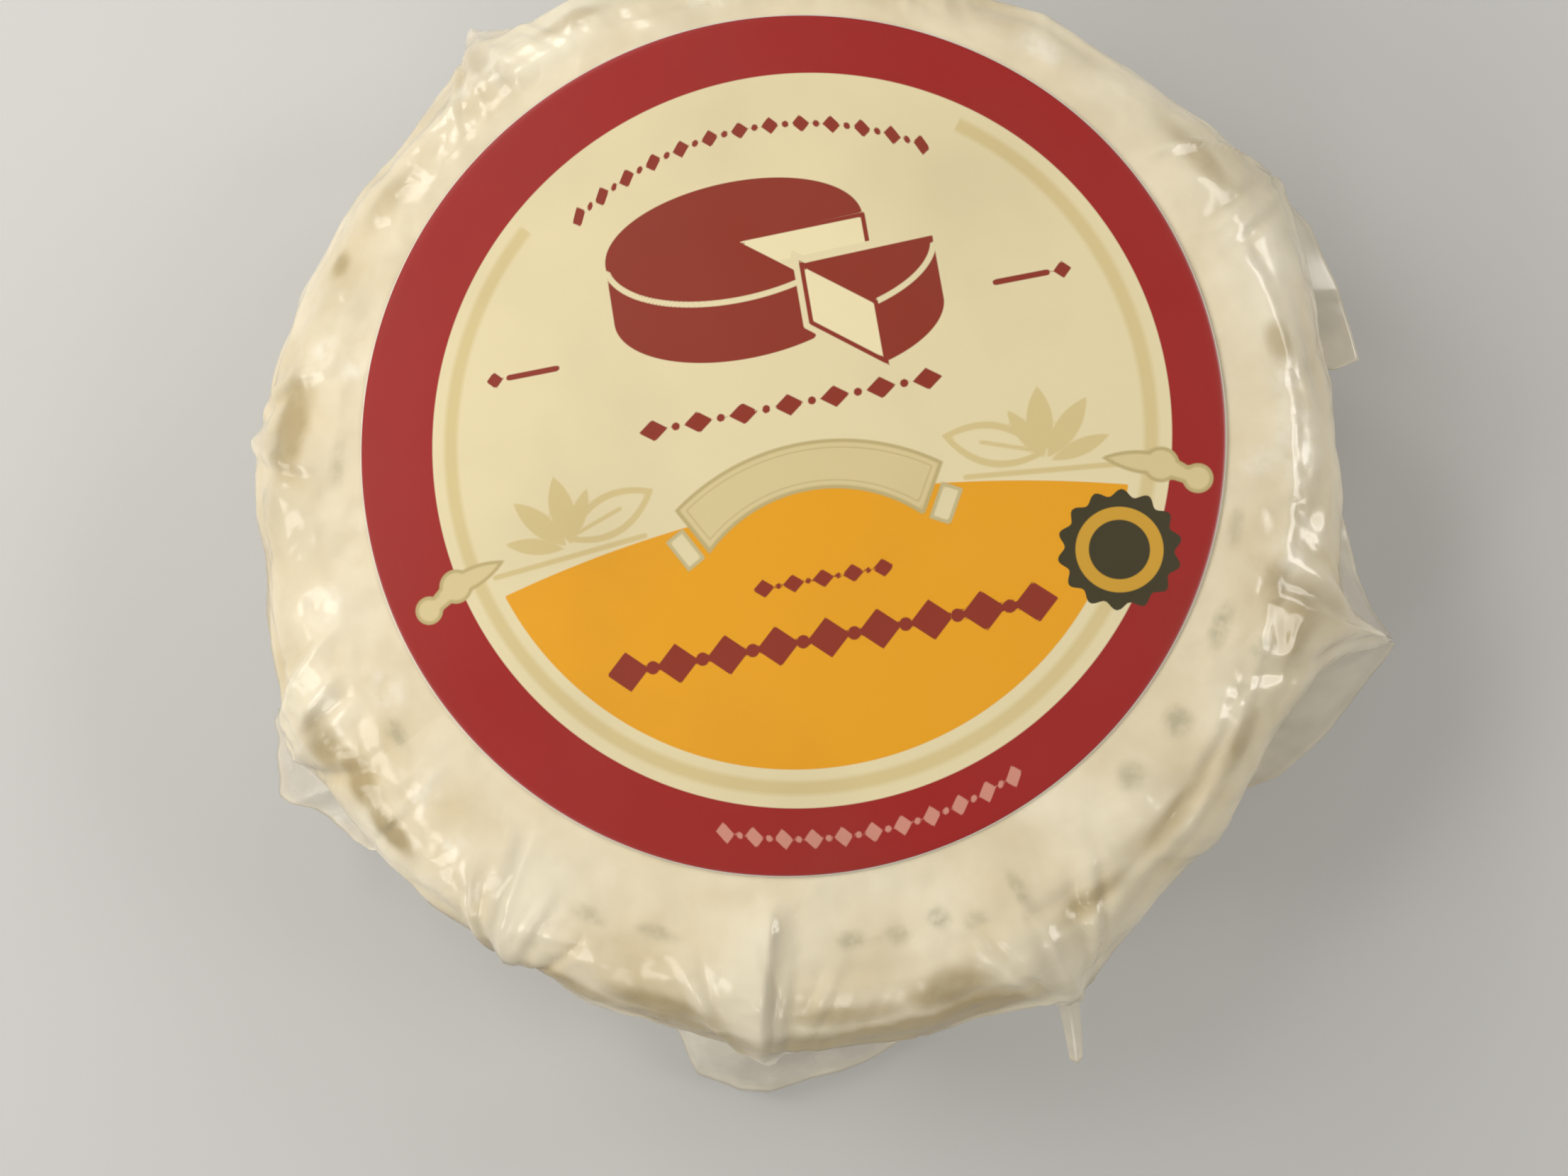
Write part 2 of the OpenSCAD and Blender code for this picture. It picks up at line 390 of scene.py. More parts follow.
def tension_creases(angle, shoulder):
    """Long creases that run along each panel from corner to corner, where the film is pulled tight.

    Each follows a bowed line: a start distance, a slope and a bow, all drawn at random."""
    height = np.zeros_like(angle)
    index, along = panel_place(angle)
    for panel in range(len(CORNERS)):
        for _ in range(PANEL_CREASES):
            first, slope, bow = rng.uniform(0.5, 12), rng.uniform(-3.5, 3.5), rng.uniform(-1.2, 1.2)
            start, end = np.sort(rng.uniform(0, 1, 2))
            width, tall = rng.uniform(0.6, 1.4), rng.uniform(0.10, 0.26) * rng.choice([-1, 1])
            off = shoulder - first - slope * along - bow * np.sin(np.pi * along)
            shown = smooth_step(start - 0.2, start, along) * smooth_step(end + 0.25, end, along)
            height += np.where(index == panel, tall * shown * np.clip(1 - np.abs(off) / width, 0, None), 0)
    return height


def small_flats(angle, shoulder):
    """Relief of the flats: a shallow dish that cancels the shoulder's own curve, and a slope across it."""
    height = np.zeros_like(angle)
    for centre, far, half_w, half_l, slope in FLATS:
        step = shoulder - far
        k = np.hypot(turn_from(angle, centre) / half_w, step / half_l)
        height -= SHOULDER_BEND * half_l ** 2 * np.clip(1 - k * k, 0, None) + slope * step * bell(k)
    return height


def spots(table, angle, shoulder, grown=1.0):
    """Mask of oval spots, each at an angle and a distance down the film: exp(-k^4) of the oval's k."""
    mask = np.zeros_like(angle)
    for centre, far, half_w, half_l, strength in table:
        k = np.hypot(turn_from(angle, centre) / (grown * half_w), (shoulder - far) / (grown * half_l))
        mask = np.maximum(mask, strength * np.exp(-k ** 4))
    return mask


def film_skin():
    """The film round the cheese: the wheel's outline grown out to straight panels between the corners,
    then moved along its own normals by pleats, facets and creases, and pleated underneath."""
    columns, counts = 860, (6, 16, 34, 14, 14, 26)
    side_r, under_rows = WHEEL_R + SIDE_SLACK, counts[-1]
    profile = wheel_profile(counts, 0.0, FILM_TOP, side_r)
    rows = len(profile)
    angle = np.broadcast_to(np.linspace(0, 360, columns, endpoint=False), (rows, columns))
    r0, z0 = profile[:, :1] + 0 * angle, profile[:, 1:] + 0 * angle
    down = np.concatenate([[0], np.cumsum(np.hypot(*np.diff(profile, axis=0).T))])[:, None] + 0 * angle
    rim = counts[0] + counts[1]
    shoulder = down - down[rim, 0]
    under = np.arange(rows)[:, None] >= rows - under_rows
    share = fold_share(z0) * (shoulder > 0)
    share = np.where(under, FOOT_SHARE * smooth_step(0.4, 1.0, r0 / r0[-under_rows]), share)
    fold = np.clip(panel_reach(angle) - side_r, 0, None)
    t = np.radians(angle)
    r, gathered = r0 + fold * share, np.zeros_like(fold)
    for centre, reach, before, after, height, half_h in SPURS:
        turn = turn_from(angle, centre)
        spur = np.exp(-np.abs(turn) / np.where(turn < 0, before, after)) * ~under
        spur = spur * bell((z0 - height) / half_h)
        r += reach * spur
        gathered = np.maximum(gathered, spur)
    points = np.stack([r * np.cos(t), r * np.sin(t), z0], axis=-1)

    round_way = np.roll(points, -1, axis=1) - np.roll(points, 1, axis=1)
    normal = np.cross(np.gradient(points, axis=0), round_way)
    normal /= np.linalg.norm(normal, axis=-1, keepdims=True)

    rim_gap = np.hypot(points[..., 0] - LABEL_X, points[..., 1] - LABEL_Y) - LABEL_R
    top_side = z0 > FILM_TOP - 1
    across = t * WHEEL_R
    span = 2 * np.pi * WHEEL_R
    rough = smooth_step(-3, 5, shoulder)
    pleat, line = pleats(angle, r, np.where(z0 > CORNER_Z, r0, side_r))
    relief = corner_fans(angle, r, np.clip((shoulder + 4) / 14, 0, 2)) * rough
    for tall, wide, long, on_top, seed in FACETS:
        relief += tall * flat_facets(across, down, wide, long, span, seed) * (on_top + (1 - on_top) * rough)
    tall, wide, long, seed = SIDE_FACETS
    relief += tall * flat_facets(across, down, wide, long, span, seed) * smooth_step(6, 12, shoulder)
    relief += tension_creases(angle, shoulder) * rough + small_flats(angle, shoulder)
    relief += short_creases(across, down, SHORT_CREASES, (1.5, 5.0), (0.06, 0.22)) * (0.3 + 0.7 * rough)
    relief = relief * np.where(top_side, smooth_step(*CALM_GAPS, rim_gap), 1.0)
    relief += pleat * np.where(top_side, smooth_step(0.0, 0.6, rim_gap), 1.0) * smooth_step(0.0, 4.0, z0)
    relief *= np.where(under, 0.0, smooth_step(0.0, 2.5, z0))
    room = SIDE_SLACK * smooth_step(0, 6, shoulder) + LEAST_ROOM + 0.8 * fold * share
    points += normal * np.maximum(relief, -room)[..., None]

    x, y = points[..., 0], points[..., 1]
    points[..., 2] += top_wave(x, y) * smooth_step(8, 0, shoulder)
    _, along = panel_place(angle + 40 * (1 - r0 / WHEEL_R))
    tuck = TUCK_RISE * along * smooth_step(0.03, 0.15, r0 / WHEEL_R)
    tuck = FLOOR_GAP + tuck * smooth_step(1.0, 0.93, r0 / r0[-under_rows])
    points[..., 2] = np.where(under, tuck, np.clip(points[..., 2], FLOOR_GAP, None))

    # Mask of the painted highlight that lightens the film's colour on the flats.
    painted_highlight = [(centre, far, half_w, half_l, 1.0) for centre, far, half_w, half_l, _ in FLATS]
    off = np.where(shoulder > 0, r - r0, 0)
    values = {
        "rind_patch_and_rim_shade": spots(RIND_PATCHES_AND_RIM_SHADE, angle, shoulder),
        "fold_shadow": spots(FOLD_SHADOW_MARKS, angle, shoulder),
        "painted_highlight": spots(painted_highlight, angle, shoulder, 1.15),
        # painted shade: a dark line beside each pleat's step
        "line": line * smooth_step(0, 0.6, rim_gap) * ~under,
        "stand_off": smooth_step(1.0, 5.5, off) * (1 - gathered),
        "gathered": gathered,
        "relief": relief,
        "layers": np.where(under, along, 0),
    }
    return closed_round("film", points, (0, 0, FILM_TOP + top_wave(0, 0)), (0, 0, 2 * FLOOR_GAP), values)


def film_radius(angle, z):
    """Distance of the film's plain side from the middle, at an angle and a height."""
    side_r = WHEEL_R + SIDE_SLACK
    up = np.clip((z - FILM_TOP + SHOULDER_TALL) / SHOULDER_TALL, 0, 1)
    over = SHOULDER_WIDE * (1 - (1 - up ** SHOULDER_POWER) ** (1 / SHOULDER_POWER))
    foot = FOOT_ROUND - np.sqrt(FOOT_ROUND ** 2 - np.clip(FOOT_ROUND - z, 0, FOOT_ROUND) ** 2)
    return side_r - over - foot + np.clip(panel_reach(angle) - side_r, 0, None) * fold_share(z)


def loose_ears():
    """Thin two-layer ears of film, joined in one mesh: flaps, veils and a spike.

    Each is a ruled surface from a straight line on the film to an outer edge of straight stretches, in
    angle, distance and height. Flat facets crumple it along its normals, more towards that edge.
    The two layers meet round the edge."""
    all_points, all_faces, rims, clouds = [], [], [], []
    start = 0
    steps, depth = 70, 26
    for number, (crumple, cloudy, (a0, z0), (a1, z1), edge) in enumerate(EARS):
        u = np.linspace(0, 1, steps)[:, None] + np.zeros(depth)
        v = np.linspace(0, 1, depth)[None, :] + 0 * u
        edge = np.array(edge, float)
        turn = np.radians(edge[:, 0])
        corner = np.stack([edge[:, 1] * np.cos(turn), edge[:, 1] * np.sin(turn), edge[:, 2]], axis=1)
        way = np.concatenate([[0], np.cumsum(np.linalg.norm(np.diff(corner, axis=0), axis=1))])
        edge_angle, edge_r, edge_z = (np.interp(u * way[-1], way, edge[:, k]) for k in range(3))
        root_angle, root_z = a0 + (a1 - a0) * u, z0 + (z1 - z0) * u
        root_r = film_radius(root_angle, root_z) - EAR_ROOT_IN
        angle = root_angle + (edge_angle - root_angle) * v
        r = root_r + (edge_r - root_r) * v
        z = root_z + (edge_z - root_z) * v ** 1.4
        t = np.radians(angle)
        middle = np.stack([r * np.cos(t), r * np.sin(t), z], axis=-1)
        normal = np.cross(np.gradient(middle, axis=0), np.gradient(middle, axis=1))
        normal /= np.linalg.norm(normal, axis=-1, keepdims=True) + 1e-9
        across, out = u * (way[-1] + 6), v * (edge_r - root_r)
        crinkle = sum(tall * flat_facets(across, out, wide, long, 400, seed + number)
                      for tall, wide, long, seed in EAR_FACETS)
        middle = middle + normal * (crumple * v ** 0.7 * crinkle)[..., None]
        middle[..., 2] = np.clip(middle[..., 2], EAR_LOW, None)
        thick = EAR_THICK[0] * (1 - v) + EAR_THICK[1]
        front = middle + normal * thick[..., None]
        back = middle - normal * thick[..., None]
        at = np.arange(steps * depth).reshape(steps, depth) + start
        under = at + steps * depth
        rim = np.concatenate([at[:, 0], at[-1, 1:], at[-2::-1, -1], at[0, -2:0:-1]])
        rim_under = rim + steps * depth
        grids = [np.stack([at[:-1, :-1], at[1:, :-1], at[1:, 1:], at[:-1, 1:]], axis=-1),
                 np.stack([under[:-1, :-1], under[:-1, 1:], under[1:, 1:], under[1:, :-1]], axis=-1)]
        wall = np.stack([rim, rim_under, np.roll(rim_under, -1), np.roll(rim, -1)], axis=-1)
        all_faces += [g.reshape(-1, 4) for g in grids] + [wall]
        all_points += [front.reshape(-1, 3), back.reshape(-1, 3)]
        rims += [smooth_step(0.86, 0.98, v).ravel()] * 2
        clouds.append(np.full(2 * steps * depth, cloudy))
        start += 2 * steps * depth
    return build_mesh("film_ears", np.concatenate(all_points), np.concatenate(all_faces),
                      {"rim": np.concatenate(rims), "cloudy": np.concatenate(clouds)})


def cheese_wheel():
    """The wheel itself, just inside the film: its outline with slow lumps and a finer unevenness.

    The lumps are sines of the angle and height that close on themselves round the wheel."""
    columns, counts = 420, (5, 8, 18, 12, 10, 12)
    top, low = WHEEL_TOP - FILM_AIR, WHEEL_LOW + CHEESE_LIFT
    profile = wheel_profile(counts, low, top, WHEEL_R - FILM_AIR)
    t = np.linspace(0, 2 * np.pi, columns, endpoint=False)[None, :]
    r0, z0 = profile[:, :1], profile[:, 1:]
    lumps = 0.10 * np.sin(5 * t + z0 / 4) + 0.07 * np.sin(11 * t - z0 / 3 + 1) + 0.04 * np.sin(29 * t + z0)
    r = r0 + (lumps - 0.12) * smooth_step(0.5, 1.0, r0 / WHEEL_R)
    points = np.stack([r * np.cos(t), r * np.sin(t), z0 + 0 * t], axis=-1)
    angle = np.degrees(t) + 0 * r
    down = np.concatenate([[0], np.cumsum(np.hypot(*np.diff(profile, axis=0).T))])[:, None]
    # Tan rind patches on the cheese, and painted shade along its lower rim.
    bare_rind_and_rim_shade = spots(RIND_PATCHES_AND_RIM_SHADE, angle, down - down[counts[0] + counts[1]] + 0 * r, 1.5)
    return closed_round("cheese_wheel", points, (0, 0, top), (0, 0, low), {"bare_rind_and_rim_shade": bare_rind_and_rim_shade})


# ---------------------------------------------------------------- label and its print
PRINT_TURN = 10.0       # the print is turned this far anticlockwise
PRINT_X = 0.9           # and sits this far off the middle of the cut disc
RING_R = 24.7           # inner edge of the outer ring of colour
LINE_R = 23.4           # thin line inside it
FIELD_R = 22.2          # edge of the lower field


def round_d(x, y, cx, cy, radius):
    """Distance outside a circle."""
    return np.hypot(x - cx, y - cy) - radius


def bar_d(x, y, x0, y0, x1, y1, half):
    """Distance outside a bar with round ends, between two points."""
    dx, dy = x1 - x0, y1 - y0
    along = np.clip(((x - x0) * dx + (y - y0) * dy) / (dx * dx + dy * dy), 0, 1)
    return np.hypot(x - x0 - along * dx, y - y0 - along * dy) - half


def lozenge_d(x, y, cx, cy, half_x, half_y):
    """Rough distance outside a lozenge."""
    return (np.abs(x - cx) / half_x + np.abs(y - cy) / half_y - 1) * min(half_x, half_y) * 0.8


def lozenge_row_d(along, off, count, pitch, half_x, half_y, dot):
    """Distance outside a row of lozenges with a dot in each gap, worked out from the nearest of each."""
    edge = (count - 1) / 2
    nearest = np.round(along / pitch - edge % 1) + edge % 1
    to_lozenge = along - pitch * np.clip(nearest, -edge, edge)
    gap_edge = edge - 0.5
    nearest_gap = np.round(along / pitch - gap_edge % 1) + gap_edge % 1
    to_dot = along - pitch * np.clip(nearest_gap, -gap_edge, gap_edge)
    return np.minimum(lozenge_d(to_lozenge, off, 0, 0, half_x, half_y), np.hypot(to_dot, off) - dot)


def leaf_d(x, y, x0, y0, x1, y1, half):
    """Rough distance outside a pointed leaf between two points."""
    long = np.hypot(x1 - x0, y1 - y0) / 2
    along, off = turned(x, y, (x0 + x1) / 2, (y0 + y1) / 2, np.degrees(np.arctan2(y1 - y0, x1 - x0)))
    return np.maximum(np.abs(off) - half * (1 - (along / long) ** 2), (np.abs(along) - long) * 0.5)


def turned(x, y, cx, cy, degrees):
    """Coordinates along and across a direction, measured from a point."""
    c, s = np.cos(np.radians(degrees)), np.sin(np.radians(degrees))
    return (x - cx) * c + (y - cy) * s, -(x - cx) * s + (y - cy) * c


def oval_d(x, y, half_x, half_y):
    """Distance outside an ellipse, to first order: (k - 1) divided by the slope of k."""
    k = np.hypot(x / half_x, y / half_y)
    return (k - 1) * k / np.maximum(np.hypot(x / half_x ** 2, y / half_y ** 2), 1e-6)


def cut_cheese_d(x, y, cx, cy, whole):
    """Signed distances of a drawing of a wheel of cheese, or of one slice of it, seen from the front.

    Its top is an ellipse and its side is the same ellipse moved down. In the ellipse stretched to a
    circle, the cut is the sector between two directions. Returns the inked top and side, the pale cut
    face, and the pale line along the top's front edge."""
    half_x, flat, tall = 8.9, 0.46, 4.1
    x, y = x - cx, y - cy
    a, b = np.radians(2), np.radians(-60)
    sector_a = (-x * np.sin(a) * flat + y * np.cos(a)) / np.hypot(np.sin(a) * flat, np.cos(a))
    sector_b = (x * np.sin(b) * flat - y * np.cos(b)) / np.hypot(np.sin(b) * flat, np.cos(b))
    sector = np.maximum(sector_a, sector_b)
    disc, low_disc = oval_d(x, y, half_x, half_x * flat), oval_d(x, y + tall, half_x, half_x * flat)
    wall = np.maximum(np.abs(x) - half_x, np.maximum(-tall - y, y))
    body = np.maximum(np.minimum(low_disc, wall), -disc)
    left, right = half_x * np.cos(b), half_x * np.cos(a)
    slope = np.tan(b) * flat
    if whole:
        top = np.maximum(disc, -sector)
        side = np.maximum(body, -np.maximum(np.maximum(left - x, x - right), y + 0.2))
        face = np.maximum(np.maximum(-x, x - right), np.maximum(-tall - y, y))
        face = np.maximum(np.maximum(face, -side), np.maximum(-top, np.minimum(sector, left - x)))
    else:
        top = np.maximum(disc, sector)
        side = np.maximum(body, np.maximum(left - x, x - right))
        face = np.maximum(np.maximum(-x, x - left), np.maximum(y - slope * x, slope * x - tall - y) * 0.8)
    seam = np.maximum(np.maximum(np.abs(disc) - 0.2, y + 0.3), x - left if whole else left - x)
    return np.minimum(top, side), face, seam


def banner_d(u, v):
    """Signed distances of an arched ribbon and of its two folded tails."""
    x = np.abs(u - 0.5)
    arch = np.maximum(round_d(x, v, 0, -15.95, 15.2), -round_d(x, v, 0, -14.2, 10.2))
    ends = 0.742 * (x - 9.2) - 0.67 * (v + 3.8)
    arch = np.maximum(arch, 0.67 * ends + 0.3 * (x - 8.6))
    along, off = turned(x, v, 8.75, -6.45, 61)
    tails = np.maximum(np.abs(along) - 1.25, np.abs(off) - 0.72)
    return arch, tails


def finial_d(u, v):
    """Signed distance of the turned knob at each end of the print's middle line."""
    x, y = np.where(u < 0, -u - 1.0, u), np.where(u < 0, v - 0.35, v)
    knob = np.minimum(round_d(x, y, 25.3, -7.75, 0.95), bar_d(x, y, 25.3, -7.75, 23.0, -6.5, 0.55))
    knob = np.minimum(knob, round_d(x, y, 23.2, -6.45, 1.15))
    return np.minimum(knob, leaf_d(x, y, 19.6, -5.3, 25.0, -7.0, 0.75))


def sprig_d(u, v):
    """Signed distance of the sprig of leaves on each side of the banner, one of them in outline."""
    x = np.abs(u)
    big = np.abs(leaf_d(x, v, 15.9, -4.3, 10.0, -2.1, 1.25)) - 0.24
    rib = bar_d(x, v, 15.6, -4.1, 12.2, -2.9, 0.14)
    tall = np.minimum(leaf_d(x, v, 15.9, -4.6, 16.4, 0.1, 0.85), leaf_d(x, v, 16.0, -4.6, 14.2, -1.1, 0.55))
    low = np.minimum(leaf_d(x, v, 16.2, -4.7, 19.4, -1.2, 0.75), leaf_d(x, v, 16.4, -4.9, 20.4, -3.9, 0.55))
    base = bar_d(x, v, 10.8, -5.0, 21.4, -6.0, 0.18)
    return np.minimum(np.minimum(np.minimum(big, rib), np.minimum(tall, low)), base)


def print_layers(u, v):
    """Signed distances, in millimetres, of each colour of the label's print from its own edge."""
    far, turn = np.hypot(u, v), np.degrees(np.arctan2(v, u))
    arch, tails = banner_d(u, v)
    hill = v + 4.55 + 0.0064 * u * u
    mound = np.maximum(round_d(u, v, 0.5, -14.2, 10.4), -v - 8)
    wheel, wheel_cut, wheel_seam = cut_cheese_d(u, v, -1.7, 13.7, True)
    slice_ink, slice_cut, slice_seam = cut_cheese_d(u, v, 2.6, 11.2, False)
    slice_all = np.minimum(slice_ink, slice_cut)
    side = np.abs(u)
    ornament = bar_d(side, v, 15.0, 7.4, 18.4, 7.4, 0.2)
    ornament = np.minimum(ornament, lozenge_d(side, v, 19.4, 7.4, 0.6, 0.6))
    ornament = np.minimum(ornament, lozenge_row_d(u - 0.2, v - 1.9, 7, 3.1, 1.0, 0.75, 0.28))
    bow = np.radians(turn_from(turn, 90)) * far
    ornament = np.minimum(ornament, lozenge_row_d(bow, far - 21.2, 13, 2.1, 0.62, 0.62, 0.24))
    ornament = np.minimum(ornament, lozenge_row_d(u - 0.2, v + 13.8, 9, 3.4, 1.45, 1.35, 0.45))
    ornament = np.minimum(ornament, lozenge_row_d(u - 0.5, v + 9.9, 5, 2.0, 0.75, 0.62, 0.2))
    foot = np.radians(turn_from(turn, 272)) * far
    lobes = 0.24 * np.cos(14 * np.arctan2(v + 11.4, u - 19.6))
    return {
        "ring": RING_R - far,
        "line": np.maximum(np.abs(far - LINE_R) - 0.45, 40 - np.abs(turn_from(turn, 92))),
        "field": np.maximum(np.minimum(hill, mound), far - FIELD_R),
        "ribbon": arch,
        "tails": tails,
        "knobs": finial_d(u, v),
        "scroll": sprig_d(u, v),
        "wheel": wheel,
        "wheel_cut": wheel_cut,
        "wheel_seam": wheel_seam,
        "slice": slice_ink,
        "slice_cut": slice_cut,
        "slice_seam": slice_seam,
        "slice_all": slice_all,
        "ornament": ornament,
        "ring_row": lozenge_row_d(foot, far - 26.7, 11, 1.95, 0.62, 0.68, 0.22),
        "seal": round_d(u, v, 19.6, -11.4, 3.7) - lobes,
        "seal_ring": np.abs(round_d(u, v, 19.6, -11.4, 2.35)) - 0.42,
    }


def paper_label():
    """The label: a square grid pressed to a disc, on the film's slow wave, with its paper's thickness.

    Squares about the middle become circles: on the larger of |a| and |b| the radius is that value and
    the angle is a quarter turn's share of their ratio."""
    steps = 292
    a, b = np.meshgrid(np.linspace(-1, 1, steps + 1), np.linspace(-1, 1, steps + 1), indexing="ij")
    wide = np.abs(a) >= np.abs(b)
    radius = np.where(wide, a, b)
    ratio = np.divide(np.where(wide, b, a), radius, out=np.zeros_like(a), where=radius != 0)
    turn = np.where(wide, ratio * np.pi / 4, np.pi / 2 - ratio * np.pi / 4)
    x, y = LABEL_R * radius * np.cos(turn), LABEL_R * radius * np.sin(turn)
    far = np.hypot(x, y)
    paper = label_high[2] - label_low[2]
    edge_lift = 0.05 * smooth_step(24, 29, far) * np.sin(3 * np.arctan2(y, x) + 1)
    z = label_low[2] + FLOOR_GAP + top_wave(x + LABEL_X, y + LABEL_Y) + edge_lift + paper
    round_off = 0.05 * smooth_step(LABEL_R - 0.3, LABEL_R, far)
    top = np.stack([x + LABEL_X, y + LABEL_Y, z - round_off], axis=-1).reshape(-1, 3)
    at = np.arange((steps + 1) ** 2).reshape(steps + 1, steps + 1)
    faces = np.stack([at[:-1, :-1], at[1:, :-1], at[1:, 1:], at[:-1, 1:]], axis=-1).reshape(-1, 4)
    rim = np.concatenate([at[:-1, 0], at[-1, :-1], at[:0:-1, -1], at[0, :0:-1]])
    low = top[rim] - np.array([0, 0, paper])
    low_at = np.arange(len(rim)) + len(top)
    wall = np.stack([rim, low_at, np.roll(low_at, -1), np.roll(rim, -1)], axis=-1)
    middle = len(top) + len(rim)
    base = [np.full(len(rim), middle), np.roll(low_at, -1), low_at, np.full(len(rim), -1)]
    base = np.stack(base, axis=-1)
    points = np.concatenate([top, low, [[LABEL_X, LABEL_Y, label_low[2] + FLOOR_GAP]]])
    t = np.radians(PRINT_TURN)
    dx, dy = points[:, 0] - LABEL_X, points[:, 1] - LABEL_Y
    u = dx * np.cos(t) + dy * np.sin(t) - PRINT_X
    v = -dx * np.sin(t) + dy * np.cos(t)
    values = print_layers(u, v)
    values["edge"] = LABEL_R - np.hypot(dx, dy)
    return build_mesh("paper_label", points, np.concatenate([faces, wall, base]), values)


# ---------------------------------------------------------------- shader tools
class Signal:
    """A value that varies over a surface. Its operators add Math nodes."""

    def __init__(self, shader, socket):
        self.shader = shader
        self.socket = socket

    def math(self, operation, *others, first=None):
        """Adds a Math node on this value and others, with first put before it where it is given."""
        values = ([first, self] if first is not None else [self]) + list(others)
        return self.shader.node("ShaderNodeMath", {"operation": operation}, dict(enumerate(values)))

    def __add__(self, other):
        return self.math("ADD", other)

    __radd__ = __add__

    def __mul__(self, other):
        return self.math("MULTIPLY", other)

    __rmul__ = __mul__

    def __sub__(self, other):
        return self.math("SUBTRACT", other)

    def __rsub__(self, other):
        return self.math("SUBTRACT", first=other)

    def __truediv__(self, other):
        return self.math("DIVIDE", other)

    def __abs__(self):
        return self.math("ABSOLUTE")

    def clip(self):
        """Held between 0 and 1."""
        return self.shader.node("ShaderNodeClamp", {}, {0: self})

    def rise(self, low, high):
        """0 below low, 1 above high, straight between them."""
        return ((self - low) / (high - low)).clip()


class Shader:
    """One material: a Principled shader, and the nodes that feed it."""

    def __init__(self, name, **constants):
        self.material = bpy.data.materials.new(name)
        self.material.use_nodes = True
        self.tree = self.material.node_tree
        self.surface = self.tree.nodes["Principled BSDF"]
        for key, value in constants.items():
            self.surface.inputs[key.replace("_", " ")].default_value = value

    def node(self, kind, settings=None, inputs=None, output=0):
        """Adds a node: its settings, then the values or links of its sockets. Returns one output."""
        made = self.tree.nodes.new(kind)
        for key, value in (settings or {}).items():
            setattr(made, key, value)
        for key, value in (inputs or {}).items():
            if isinstance(value, Signal):
                self.tree.links.new(value.socket, made.inputs[key])
            else:
                made.inputs[key].default_value = value
        return Signal(self, made.outputs[output])

    def value(self, name):
        """A number stored at the mesh's points."""
        return self.node("ShaderNodeAttribute", {"attribute_name": name}, output="Fac")

    def place(self):
        """The point's place in the object, in metres."""
        return self.node("ShaderNodeTexCoord", output="Object")

    def noise(self, size, detail=3.0, roughness=0.5, distortion=0.0):
        """Soft noise from 0 to 1, with features of about this size in millimetres."""
        inputs = {"Vector": self.place(), "Scale": 1 / (size * MM), "Detail": detail,
                  "Roughness": roughness, "Distortion": distortion}
        return self.node("ShaderNodeTexNoise", None, inputs)

    def creased(self, size):
        """Smooth swells that meet in sharp creases: the size of noise's distance from its middle."""
        return abs(self.noise(size, 2, 0.45, 0.6) - 0.5)

    def mix(self, share, first, second):
        """Colour first where share is 0, and colour second where it is 1."""
        pair = [c if isinstance(c, Signal) else (*c, 1.0) for c in (first, second)]
        return self.node("ShaderNodeMix", {"data_type": "RGBA"}, {0: share, 6: pair[0], 7: pair[1]}, 2)

    def bump(self, height, depth, strength=1.0):
        """Relief of this depth in millimetres."""
        inputs = {"Height": height, "Distance": depth * MM, "Strength": strength}
        return self.node("ShaderNodeBump", None, inputs)

    def feed(self, **signals):
        """Links signals to the Principled shader's sockets and returns the material."""
        for key, signal in signals.items():
            self.tree.links.new(signal.socket, self.surface.inputs[key.replace("_", " ")])
        return self.material


# ---------------------------------------------------------------- finishes
def film_finish():
    """Glossy crinkled film: cream where it backs onto the rind, tan where it clings, whiter where it is
    gathered, and clearer and greyer where it stands off. Its colour also holds painted light: a painted
    highlight on the flats, painted shade beside the pleats' steps, small painted fold shadows, and
    painted shade along the lower rim."""
    s = Shader("clear_film", IOR=1.49)
    cloud, fine = s.noise(6.0, 4), s.noise(1.0, 3)
    lifted = s.value("relief").rise(-0.4, 0.55)
    # Tan rind patches, and painted shade along the lower rim.
    rind_patch_and_rim_shade = (s.value("rind_patch_and_rim_shade") * (0.45 + 1.1 * s.noise(1.8, 4))).clip()
    # Painted shade: small grey fold shadows darken the film's colour.
    fold_shadow = (s.value("fold_shadow") * s.noise(0.8, 3).rise(0.15, 0.6)).clip()
    # Painted highlight: the film's colour is lightened on the flats.
    painted_highlight = (s.value("painted_highlight") * s.noise(1.6, 3).rise(0.38, 0.66)).clip()
    off, gathered = s.value("stand_off"), s.value("gathered")
    colour = s.mix(lifted, (0.69, 0.57, 0.35), (0.87, 0.79, 0.59))
    colour = s.mix(cloud.rise(0.35, 0.7) * 0.50, colour, (0.93, 0.87, 0.70))
    colour = s.mix(s.noise(10.0, 3).rise(0.48, 0.68) * 0.42, colour, (0.63, 0.57, 0.41))
    colour = s.mix(off * 0.6, colour, (0.88, 0.84, 0.72))
    colour = s.mix(rind_patch_and_rim_shade.rise(0.0, 0.85) * 0.78, colour, (0.47, 0.36, 0.17))
    colour = s.mix(fold_shadow * 0.70, colour, (0.40, 0.36, 0.23))
    # Painted shade: a dark line beside each pleat's step.
    colour = s.mix(s.value("line") * 0.50, colour, (0.46, 0.41, 0.31))
    colour = s.mix(painted_highlight * 0.60, colour, (0.96, 0.91, 0.77))
    colour = s.mix(gathered * 0.65, colour, (0.95, 0.90, 0.76))
    alpha = (0.90 - 0.30 * off + 0.15 * (cloud - 0.5) - 0.15 * rind_patch_and_rim_shade + 0.2 * s.value("layers")
             + 0.3 * gathered).clip()
    relief = s.bump(s.noise(3.2, 1.5) + 0.5 * s.creased(6.0) + 0.03 * fine, 0.75, 0.6)
    return s.feed(Base_Color=colour, Alpha=alpha, Normal=relief, Roughness=0.13 + 0.12 * s.noise(4.0, 2))


